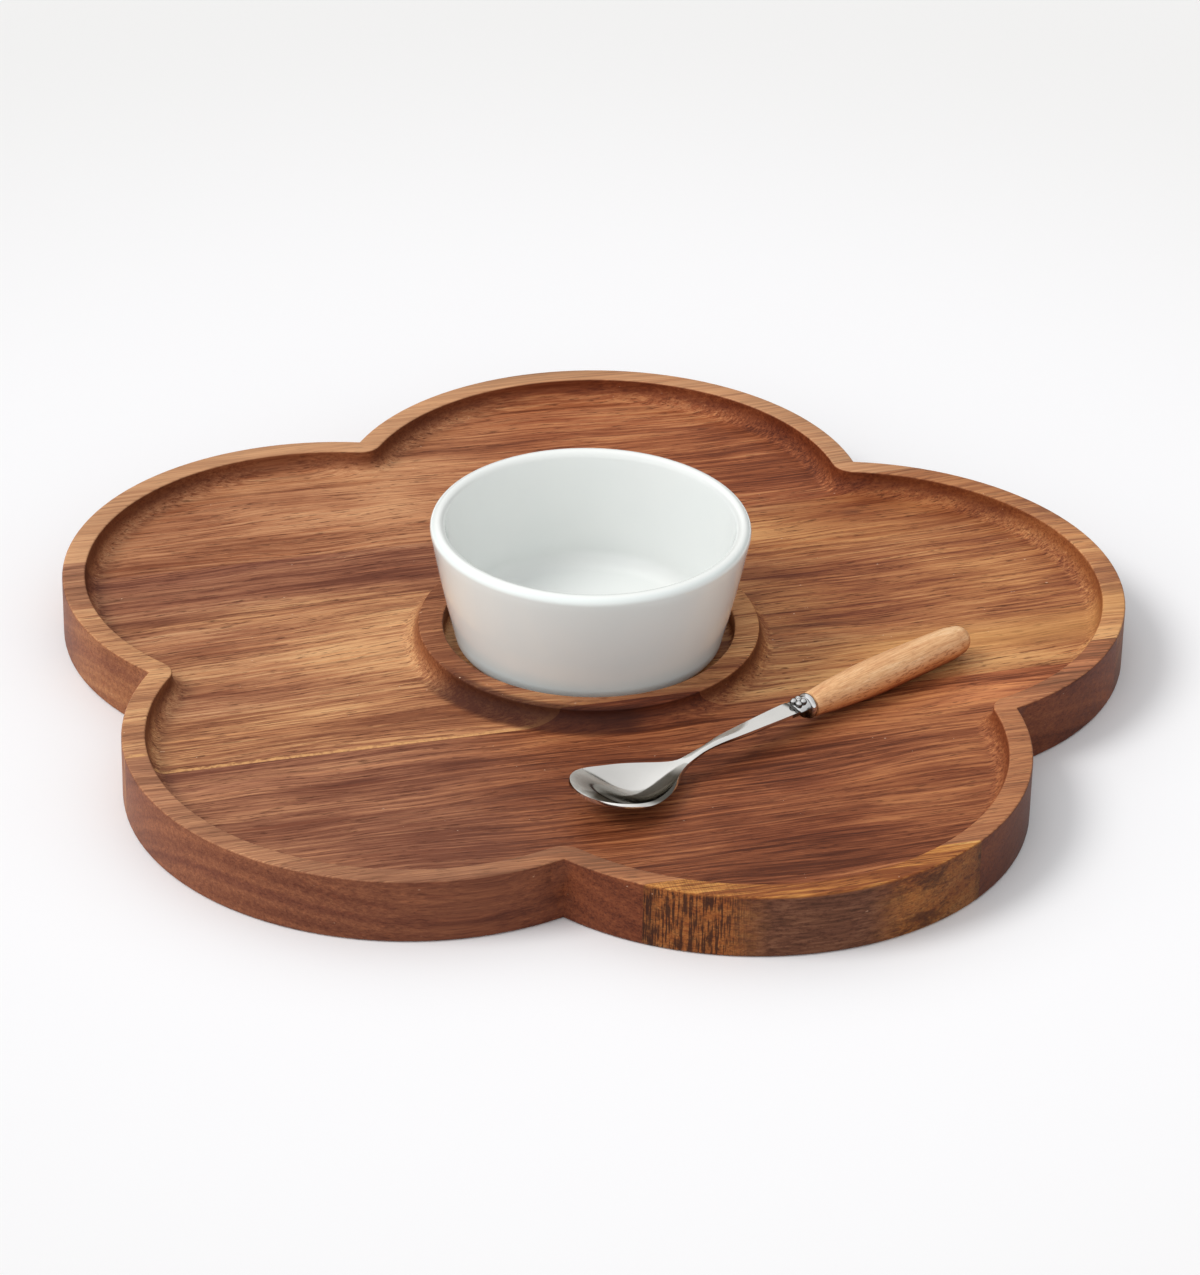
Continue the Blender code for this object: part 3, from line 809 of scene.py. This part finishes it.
def steel_blade():
    """Drawn out row by row from the shank to the tip of the scoop, then given its thickness."""
    widest = 1.0 * MM
    deepest = -1.0 * MM
    across = [math.sin(math.pi / 2 * (2 * i / ROW_CELLS - 1)) for i in range(ROW_CELLS + 1)]
    stations = [SHANK_END - ROW_STEP * i for i in range(17)]
    stations += [SCOOP_LENGTH * (0.5 + 0.5 * math.cos(math.pi * i / 36)) for i in range(1, 36)]
    first = stations[0]
    row = [(first, widest * v, blade_rim(first) - deepest * (1 - v * v)) for v in across]
    blade = draw_line("steel_blade", row)
    width, depth = widest, deepest
    for number, x in enumerate(stations):
        here = (x, 0, blade_rim(x))
        if number:
            step = (x - stations[number - 1], 0, blade_rim(x) - blade_rim(stations[number - 1]))
            bpy.ops.mesh.extrude_region_move(TRANSFORM_OT_translate={"value": step})
        wide = math.hypot(scoop_half_width(x), neck_half_width(x))
        deep = scoop_hollow(x)
        bpy.ops.transform.resize(value=(1, wide / width, deep / depth), center_override=here)
        width, depth = wide, deep
    bpy.ops.mesh.extrude_region_move(TRANSFORM_OT_translate={"value": (-stations[-1], 0, 0)})
    bpy.ops.mesh.merge(type="CENTER")
    face_outwards()
    bpy.ops.object.mode_set(mode="OBJECT")
    apply_modifier(blade, "SOLIDIFY", thickness=STEEL_THICKNESS, offset=-1.0, use_even_offset=True)
    sharp = math.radians(50)
    apply_modifier(blade, "BEVEL", width=STEEL_EASE, segments=3, limit_method="ANGLE", angle_limit=sharp)
    only(blade)
    bpy.ops.object.shade_smooth_by_angle(angle=sharp)
    lay_along_spoon(blade)
    return blade


def turn_along(name, profile, start, steps=64):
    """A turned piece along the spoon from (along, radius) points, its face at `start`."""
    piece = draw_line(name, [(start + along, 0, SPOON_AXIS + radius) for along, radius in profile])
    sweep(2 * math.pi, (0, 0, SPOON_AXIS), steps, axis=(1, 0, 0))
    weld()
    face_outwards()
    return piece


def chrome_ferrule():
    end = FERRULE_LENGTH - 0.2 * MM
    ring = end - 1.3 * MM
    profile = [(0, 0), (0, 3.2 * MM), (0.3 * MM, 3.7 * MM), (1.0 * MM, 3.9 * MM), (3.6 * MM, 3.9 * MM)]
    profile += [(4.4 * MM, 3.6 * MM), (ring - 1.3 * MM, 3.7 * MM)]
    profile += arc((ring, 3.15 * MM), 1.3 * MM, 165, 0, 10) + [(end, 0)]
    ferrule = turn_along("chrome_ferrule", profile, SHANK_END)
    pick(ferrule, "verts", lambda vert: vert.co.x < SHANK_END + SLEEVE_LENGTH)
    middle = (SHANK_END, 0, SPOON_AXIS + 1.9 * MM)
    bpy.ops.transform.resize(value=(1, 1, SLEEVE_FLATTENING), center_override=middle)
    leave_edit(40)
    lay_along_spoon(ferrule)
    return ferrule


def ferrule_rosette():
    """A small cast rosette, four lobes round a button, on top of the ferrule's flat sleeve."""
    middle = Vector((SHANK_END + 2.4 * MM, 0, SPOON_AXIS + 2.4 * MM))
    bpy.ops.object.select_all(action="DESELECT")
    lobe = middle + Vector((1.05 * MM, 1.25 * MM, 0.5 * MM))
    bpy.ops.mesh.primitive_uv_sphere_add(segments=32, ring_count=16, radius=LOBE_RADIUS, location=lobe)
    rosette = bpy.context.object
    rosette.name = rosette.data.name = "ferrule_rosette"
    bpy.ops.object.transform_apply(location=True, rotation=False, scale=False)
    bpy.ops.object.mode_set(mode="EDIT")
    bpy.ops.mesh.select_all(action="SELECT")
    bpy.ops.transform.resize(value=(0.84, 0.94, 0.95), center_override=lobe)
    bpy.ops.mesh.bisect(plane_co=middle, plane_no=(0, 0, 1), use_fill=True, clear_inner=True, threshold=1e-6)
    bpy.ops.mesh.select_all(action="SELECT")
    bpy.ops.mesh.spin(steps=3, dupli=True, angle=1.5 * math.pi, center=middle, axis=(0, 0, 1))
    button = middle + Vector((0, 0, 1.2 * MM))
    bpy.ops.mesh.primitive_uv_sphere_add(segments=24, ring_count=12, radius=BUTTON_RADIUS, location=button)
    face_outwards()
    leave_edit(60)
    lay_along_spoon(rosette)
    return rosette


def beech_grip():
    stops = [(0, 4.4 * MM), (10.2 * MM, 5.4 * MM), (30.4 * MM, 6.35 * MM)]
    shape = flow(stops + [(63.8 * MM, 5.75 * MM), (HANDLE_LENGTH, 4.2 * MM)])
    barrel = HANDLE_LENGTH - HANDLE_END_ROUNDING
    profile = [(20 * MM, 0), (20 * MM, 2.1 * MM), (0, 2.1 * MM), (0, 3.9 * MM), (0.15 * MM, 4.2 * MM)]
    profile += [(barrel * i / 24 + 0.5 * MM * (i == 0), shape(barrel * i / 24)) for i in range(25)]
    for turn in range(1, 8):
        angle = math.radians(90 * turn / 8)
        along = barrel + HANDLE_END_ROUNDING * math.sin(angle)
        profile.append((along, shape(barrel) * math.cos(angle) ** 0.7))
    profile.append((HANDLE_LENGTH, 0))
    grip = turn_along("beech_grip", profile, HANDLE_START)
    leave_edit(50)
    lay_along_spoon(grip)
    return grip


# ------------------------------------------------------------------------------------------------------------
# Putting the pieces on their bodies
# ------------------------------------------------------------------------------------------------------------


def place_piece(piece, material, body, slot, *nodes):
    if material:
        piece.data.materials.clear()
        piece.data.materials.append(material)
    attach(piece, body)
    if nodes:
        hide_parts(*nodes)


def make_tray():
    tray = routed_tray()
    back = acacia("acacia_back", 3, (120, -60), PALE_BACK, RED_BACK, (-60.0, 30.0), 0.80)
    middle = acacia("acacia_middle", 8, (10, -90), GOLDEN, AMBER, (-20.0, 90.0), 0.26, middle_figure)
    front = acacia("acacia_front", 15, (-120, -70), BROWN, RED_FRONT, (-95.0, -25.0), 0.22, front_figure)
    edge = acacia("acacia_edge", 21, (-150, -30), SAPWOOD, SAPWOOD, (0.0, 10.0), 0.0, strip_figure)
    staves = [
        ("stave_back", BACK_JOINT, None, back, "acacia", "back_stave"),
        ("stave_middle", MIDDLE_JOINT, BACK_JOINT, middle, "acacia", "middle_stave"),
        ("stave_front", FRONT_JOINT, MIDDLE_JOINT, front, "acacia", "front_stave"),
        ("stave_edge", None, FRONT_JOINT, edge, "acacia_sapwood", "front_edge_strip"),
    ]
    for name, near, far, material, slot, node in staves:
        place_piece(part_stave(tray, name, near, far), material, "tray", slot, node)
    bpy.data.objects.remove(tray)


def make_bowl():
    place_piece(glazed_bowl(), None, "bowl", "glaze", "dip_bowl")


def make_spoon():
    steel = polished_steel("polished_steel", (250, 248, 244), 0.05)
    place_piece(steel_blade(), steel, "spoon", "steel", "spoon_blade")
    chrome = polished_steel("chrome", (232, 232, 232), 0.03)
    place_piece(chrome_ferrule(), chrome, "spoon", "chrome", "spoon_ferrule")
    place_piece(ferrule_rosette(), chrome, "spoon", "chrome")
    place_piece(beech_grip(), beech(), "spoon", "beech", "spoon_handle")


# ------------------------------------------------------------------------------------------------------------
# Studio
# ------------------------------------------------------------------------------------------------------------

VIEW_HEADING = math.radians(-15.8)
VIEW_DROP = math.radians(29.9)
VIEW_ROLL = math.radians(1.23)
VIEW_DISTANCE = 1.797
VIEW_TARGET = Vector((0.0113, 0.0254, 0))
VIEW_LENS = 144.6
FLOOR_SIZE = 16
ROOM_TURN = (0.27, 0.96)  # the way to the far wall, in X and Y
WINDOW_RAYS = (34.3, -3.5, -36)


def make_camera():
    data = bpy.data.cameras.new("camera")
    data.lens = VIEW_LENS
    data.clip_start = 0.05
    camera = bpy.data.objects.new("camera", data)
    turn = (
        Matrix.Rotation(VIEW_HEADING, 4, "Z")
        @ Matrix.Rotation(math.pi / 2 - VIEW_DROP, 4, "X")
        @ Matrix.Rotation(VIEW_ROLL, 4, "Z")
    )
    camera.matrix_world = Matrix.Translation(VIEW_TARGET) @ turn @ Matrix.Translation((0, 0, VIEW_DISTANCE))
    bpy.context.scene.collection.objects.link(camera)
    bpy.context.scene.camera = camera


def make_floor():
    bpy.ops.object.select_all(action="DESELECT")
    bpy.ops.mesh.primitive_plane_add(size=FLOOR_SIZE, location=(0, 0, 0))
    floor = bpy.context.object
    floor.name = floor.data.name = "studio_floor"
    floor.data.materials.append(floor_paint())


def add_sun(name, towards, strength, angle, colour):
    data = bpy.data.lights.new(name, "SUN")
    data.energy = strength
    data.angle = math.radians(angle)
    data.color = colour
    sun = bpy.data.objects.new(name, data)
    sun.rotation_euler = Vector(towards).to_track_quat("-Z", "Y").to_euler()
    sun.visible_glossy = False
    bpy.context.scene.collection.objects.link(sun)


def make_light():
    """A pale room with a dark far wall low down, and a large window on the left."""
    world = bpy.data.worlds.new("studio")
    world.use_nodes = True
    room = Nodes(world.node_tree)
    x, y, z = room.split(room.node("ShaderNodeTexCoord", {}, {}, "Generated"))
    away = x * ROOM_TURN[0] + y * ROOM_TURN[1]
    leftwards = y * ROOM_TURN[0] - x * ROOM_TURN[1]
    far_wall = (1 - room.ease(z, 0.36, 0.47)) * room.ease(away, 0.0, 0.35)
    sides = room.ease(leftwards, -0.8, 0.8) * 0.42 + 0.66
    near_wall = (1 - room.ease(away, -0.7, 0.0)) * (1 - room.ease(z, 0.2, 0.8)) * 0.30
    level = sides + near_wall
    walls = room.mix(far_wall, room.join(level, level, level), (0.11, 0.105, 0.095, 1))
    background = world.node_tree.nodes["Background"]
    room.plug(walls, background.inputs["Color"])
    background.inputs["Strength"].default_value = 0.93
    bpy.context.scene.world = world
    add_sun("window", WINDOW_RAYS, 1.35, 26, (1.0, 0.985, 0.965))
    bpy.context.scene.view_settings.view_transform = "Standard"


make_tray()
make_bowl()
make_spoon()
make_floor()
make_light()
make_camera()
